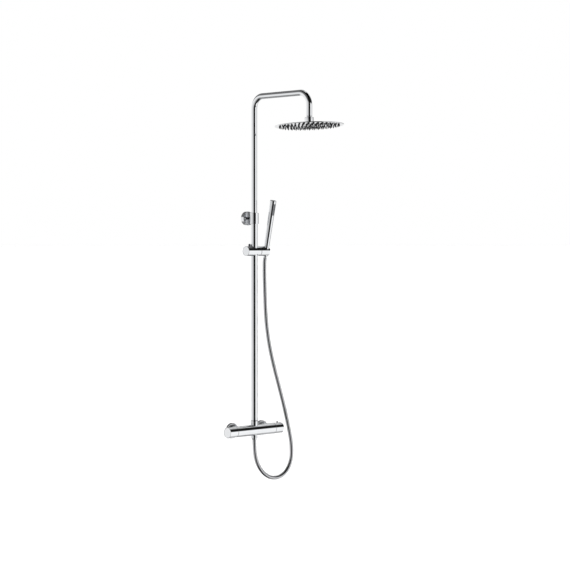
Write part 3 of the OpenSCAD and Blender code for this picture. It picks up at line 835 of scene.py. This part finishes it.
def make_bracket(z, sleeve_r):
    reach, post_r, foot_r = -AXIS_Y - sleeve_r, 6, 7.6
    turned("bracket_arm", [
        (0, 4), (post_r, 4), (post_r, reach - 2.2, 1.5), (foot_r, reach + 1.2, 0.6),
        (foot_r, reach + 3), (0, reach + 3)],
        on_wall(0, 0, z), "chrome", "mixer", ["bracket_post"], sides=96)
    low, high = box_mm("bracket_rosette")
    r, depth, wall = high.x, -low.y, SHELL_WALL
    turned("bracket_cover", [
        (r - wall, 0), (r, 0, 0.3), (r, depth, 1.4), (6.2, depth, 0.6), (6.2, depth - wall),
        (r - wall, depth - wall)], on_wall(0, 0, z), "chrome", "mixer", ["bracket_rosette"], closed=True)


make_bracket(*make_riser())


# ---- Sliding upper tube with the arm ----
ARM_R = 11
ARM_BEND = 45                # radius of both bends
ARM_BEND_STEPS = 40
BALL_R = 12.5


def arm_line(z_low, z_high):
    """Centreline: up the riser, out along the arm and down to the head."""
    start = box_mm("upper_tube")[1].z - ARM_R - ARM_BEND       # height at which the bends begin
    line = [Vector((0, AXIS_Y, z_low)), Vector((0, AXIS_Y, z_low + 1))]
    line += [Vector((0, AXIS_Y, z_low + (start - z_low) * k / 12)) for k in range(1, 12)]
    turns = [math.pi / 2 * k / ARM_BEND_STEPS for k in range(ARM_BEND_STEPS + 1)]
    line += [Vector((0, AXIS_Y - ARM_BEND + ARM_BEND * math.cos(a), start + ARM_BEND * math.sin(a)))
             for a in turns]
    line += [Vector((0, BALL.y + ARM_BEND - ARM_BEND * math.sin(a), start + ARM_BEND * math.cos(a)))
             for a in turns]
    return line + [Vector((0, BALL.y, z_high + 1)), Vector((0, BALL.y, z_high))]


def tube_along(line, r_out, r_in, sides):
    """A pipe with a wall, swept along a line in the plane X = 0."""
    points, faces = [], []
    for i, point in enumerate(line):
        ahead = (line[min(i + 1, len(line) - 1)] - line[max(i - 1, 0)]).normalized()
        across = Vector((1, 0, 0)).cross(ahead)
        for radius in (r_out, r_in):
            for k in range(sides):
                a = 2 * math.pi * k / sides
                points.append(tuple(point + Vector((1, 0, 0)) * radius * math.cos(a)
                                    + across * radius * math.sin(a)))
    ring = 2 * sides
    for i in range(len(line) - 1):
        for k in range(sides):
            after = (k + 1) % sides
            for wall in (0, sides):
                a, b = i * ring + wall + k, i * ring + wall + after
                faces.append((a, b, b + ring, a + ring))
    for i in (0, len(line) - 1):
        for k in range(sides):
            a, b = i * ring + k, i * ring + (k + 1) % sides
            faces.append((a, b, b + sides, a + sides))
    return points, faces


def make_upper_tube():
    low, high = box_mm("upper_tube")
    bottom_of_drop = BALL.z + 13
    arm = mesh_object("sliding_tube_and_arm",
                      tube_along(arm_line(low.z, bottom_of_drop), high.x, high.x - 1, 96),
                      Matrix.Identity(4))
    dress(arm, "chrome", "upper_riser", ["upper_tube"])
    ball = [(BALL_R * math.sin(math.radians(a)), -BALL_R * math.cos(math.radians(a)))
            for a in range(0, 133, 4)]
    turned("ball_and_collar", [
        *ball, (9, 9.4, 0.4), (9, 11, 0.3), (11, 11.4, 0.4), (11, 13, 0.2), (9.9, 13), (9.9, 20), (0, 20)],
        shift(*BALL), "chrome", "upper_riser", ["ball_fitting"], sides=96)


make_upper_tube()


# ---- Rain head ----
NUT_LOW, NUT_HIGH = -15, 7.5
SEAT_R = 13.35
HEAD_R = 125
PLATE_SEAT_R = 120.05
MAT_R = 119.6
FACE_Z = -24
NOZZLE_RINGS = 8
NOZZLE_PITCH = 13.5
NOZZLES_PER_STEP = 5


def nozzle_places():
    places = [(0.0, 0.0)]
    for ring in range(1, NOZZLE_RINGS + 1):
        count = ring * NOZZLES_PER_STEP
        for i in range(count):
            angle = 2 * math.pi * i / count
            places.append((NOZZLE_PITCH * ring * math.sin(angle), NOZZLE_PITCH * ring * math.cos(angle)))
    return places


def make_head_nut():
    lip = math.degrees(math.acos(NUT_HIGH / SEAT_R))
    cup = [(SEAT_R * math.sin(math.radians(a)), -SEAT_R * math.cos(math.radians(a)))
           for a in [k * (180 - lip) / 30 for k in range(31)]]
    turned("ball_joint_nut", [
        *cup, (16.5, NUT_HIGH, 1.4), (16.5, 1.2), (16.1, 0.8), (16.1, 0.2), (16.5, -0.2),
        (16.5, NUT_LOW, 1.0), (0, NUT_LOW)], ON_HEAD, "chrome", "rain_head", ["head_nut"])


def make_head_shell():
    turned("head_shell", [
        (8, -19.5), (30, -19.5), (PLATE_SEAT_R, -21.5), (PLATE_SEAT_R, FACE_Z, 0.2),
        (HEAD_R, FACE_Z, 1.2), (HEAD_R, FACE_Z + 3, 1.2), (30, FACE_Z + 6, 12), (18.5, NUT_LOW, 2),
        (8, NUT_LOW)],
        ON_HEAD, "chrome", "rain_head", ["head_top_plate"], closed=True, sides=240)


def make_nozzles():
    """One silicone mat: a disc behind the face plate and a tapered, hollow-tipped nozzle per hole."""
    nozzle = lathe([
        (0, 1.3), (2.1, 1.3), (2.2, -0.25, 0.2), (1.9, -0.7), (1.25, -4.6), (1.05, -5, 0.15),
        (0.5, -5), (0.45, -4.2), (0, -4.2)], 14)
    shapes = [(*nozzle, shift(x, y, FACE_Z)) for x, y in nozzle_places()]
    disc = lathe([(0, FACE_Z + 1), (MAT_R, FACE_Z + 1), (MAT_R, FACE_Z + 2.4), (0, FACE_Z + 2.4)])
    shapes.append((*disc, Matrix.Identity(4)))
    mat = mesh_object("silicone_nozzles", merged(*shapes), ON_HEAD, crease=50)
    dress(mat, "silicone", "rain_head", ["nozzle_mat"])


make_head_nut()
make_head_shell()
make_nozzles()


# ---- Slider and holder ----
SLIDER_R = 18.5
BARREL_EDGE = 0.9
BARREL_SIDES = 200
AXLE_R = 4
BUSH_R = 15
CLAMP_PLACE = (-18, 6, 0)    # the lever's pivot, from the slider's centre
CLAMP_ANGLE = 34


def barrel(low, high):
    """A solid cylinder with rounded ends and a shallow dish in its left face."""
    dish, inset = 0.3, 2.4
    return lathe([
        (0, low + dish), (SLIDER_R - inset - 0.4, low + dish, 0.2), (SLIDER_R - inset, low, 0.2),
        (SLIDER_R, low, BARREL_EDGE), (SLIDER_R, high, BARREL_EDGE), (0, high)], BARREL_SIDES)


def make_slider():
    low, high = box_mm("slider_body")
    along = turn("Y", 90)
    body = mesh_object("slider_barrel", barrel(low.x, high.x), ON_SLIDER @ along)
    cut(body, (rod(BUSH_R, -30, 30, 96), ON_SLIDER),
        (rod(AXLE_R, 14, 30), ON_SLIDER @ along),
        (rod(3.05, 4, 30), ON_SLIDER @ shift(*CLAMP_PLACE)))
    dress(body, "chrome", "slider", ["slider_body"])


def make_holder():
    low, high = box_mm("holder")
    along = turn("Y", 90)
    right = lathe([(0, low.x), (SLIDER_R, low.x, BARREL_EDGE), (SLIDER_R, high.x, BARREL_EDGE),
                   (0, high.x)], BARREL_SIDES)
    holder = mesh_object("handset_holder", right, ON_HOLDER @ along)
    cone_gap = 0.15
    cone = lathe([(0, -26), (7.48 + cone_gap, -26), (9.5 + cone_gap, 8.5), (0, 8.5)], 96)
    cut(holder, (rod(AXLE_R + 0.05, 20, 38.6), ON_HOLDER @ along),
        (cone, ON_HANDSET),
        (rod(10.3, 8.4, 30, 96), ON_HANDSET),
        (block((-7.5, 0, -32), (7.5, 30, 32)), ON_HANDSET))
    dress(holder, "chrome", "holder", ["holder"])


def make_clamp_lever():
    dome = [(4.6 * math.cos(math.radians(a)), 23 + 4.5 * math.sin(math.radians(a)))
            for a in range(0, 91, 9)]
    post = lathe([(0, 5), (3, 5), (3, 18.2), (4.3, 18.6, 0.5), (4.6, 20.5, 1), (4.6, 22.8), *dome], 48)
    arm = lathe([(0, 0), (2.1, 0), (1.5, 17.5), (1.9, 19.5, 0.8), (1.7, 21, 0.9), (0, 21)], 32)
    place = ON_SLIDER @ shift(*CLAMP_PLACE)
    dress(mesh_object("clamp_lever_hub", post, place), "grey_plastic", "clamp_lever", ["clamp_lever"])
    arm_place = place @ shift(0, 0, 21) @ turn("Z", CLAMP_ANGLE) @ turn("Y", 90)
    dress(mesh_object("clamp_lever_arm", arm, arm_place), "chrome", "clamp_lever")


make_slider()
make_holder()
make_clamp_lever()


# ---- Handset ----
HANDSET_LOW, HANDSET_TOP = 9, 194
HANDSET_R = 12               # at its upper end
SPRAY_LOW, SPRAY_HIGH, SPRAY_W = 139, 182, 11
JET_PITCH, JET_ROW_OFFSET, JETS_PER_ROW = 3.5, 3.4, 11


def make_handset():
    seam = HANDSET_TOP - 5
    body = mesh_object("handset_shell", lathe([
        (0, -2), (7, -2), (7, HANDSET_LOW), (10, HANDSET_LOW, 0.7), (HANDSET_R, seam - 0.25, 0.25),
        (11, seam - 0.25), (0, seam - 0.25)], 160), ON_HANDSET)
    cut(body, (block((-SPRAY_W / 2, -20, SPRAY_LOW), (SPRAY_W / 2, -9, SPRAY_HIGH)), ON_HANDSET))
    dress(body, "chrome", "handset", ["handset_body"])
    turned("handset_end_cap", [
        (0, seam - 2), (11.4, seam - 2), (11.4, seam), (HANDSET_R, seam, 0.2),
        (HANDSET_R, HANDSET_TOP, 1.8), (0, HANDSET_TOP)],
        ON_HANDSET, "chrome", "handset", ["handset_cap"])


def make_spray_plate():
    """A curved grey panel let into the handset, with three rows of small nozzles."""
    r, depth, gap = 11.35, 2.6, 0.1
    half = math.asin((SPRAY_W / 2 - gap) / r)
    steps = 10
    points, faces = [], []
    for z in (SPRAY_LOW + gap, SPRAY_HIGH - gap):
        for radius in (r, r - depth):
            for k in range(steps + 1):
                a = -half + 2 * half * k / steps
                points.append((radius * math.sin(a), -radius * math.cos(a), z))
    row = steps + 1
    for k in range(steps):
        faces += [(k, k + 1, 2 * row + k + 1, 2 * row + k),
                  (row + k, row + k + 1, 3 * row + k + 1, 3 * row + k),
                  (k, k + 1, row + k + 1, row + k),
                  (2 * row + k, 2 * row + k + 1, 3 * row + k + 1, 3 * row + k)]
    for k in (0, steps):
        faces.append((k, row + k, 3 * row + k, 2 * row + k))
    jet = lathe([(0, 0), (0.85, 0), (0.75, 1.2, 0.15), (0.3, 1.2), (0.3, 0.7), (0, 0.7)], 12)
    shapes = [(points, faces, Matrix.Identity(4))]
    for column in (-1, 0, 1):
        a = column * math.asin(JET_ROW_OFFSET / r)
        for k in range(JETS_PER_ROW):
            place = shift(r * math.sin(a), -(r - 0.3) * math.cos(a), SPRAY_HIGH - 4 - k * JET_PITCH)
            shapes.append((*jet, place @ turn("X", 90)))
    plate = mesh_object("spray_panel", merged(*shapes), ON_HANDSET, crease=40)
    dress(plate, "grey_plastic", "handset", ["handset_spray_plate"])
    plate.data.materials[0] = SPRAY_GREY


def make_cone_nut():
    turned("hose_cone", [
        (0, -23.8), (6.6, -23.8), (7.6, -24, 0.3), (8.0, -17), (7.7, -16.6), (7.75, -15.8), (8.15, -15.4),
        (8.25, -13), (7.95, -12.6), (8.0, -11.8), (8.4, -11.4), (9.5, 8.5, 0.4), (7.1, 8.5), (7.1, 5),
        (0, 5)], ON_HANDSET, "chrome", "handset", ["hose_cone_nut"], sides=96)


make_handset()
make_spray_plate()
make_cone_nut()


# ---- CAD parts that stay get the same materials ----
for part in frame["record"]["subparts"]:
    node = frame["nodes"][part["node"]]
    node.data.materials.clear()
    node.data.materials.append(MATERIALS[part["material_slot"]])
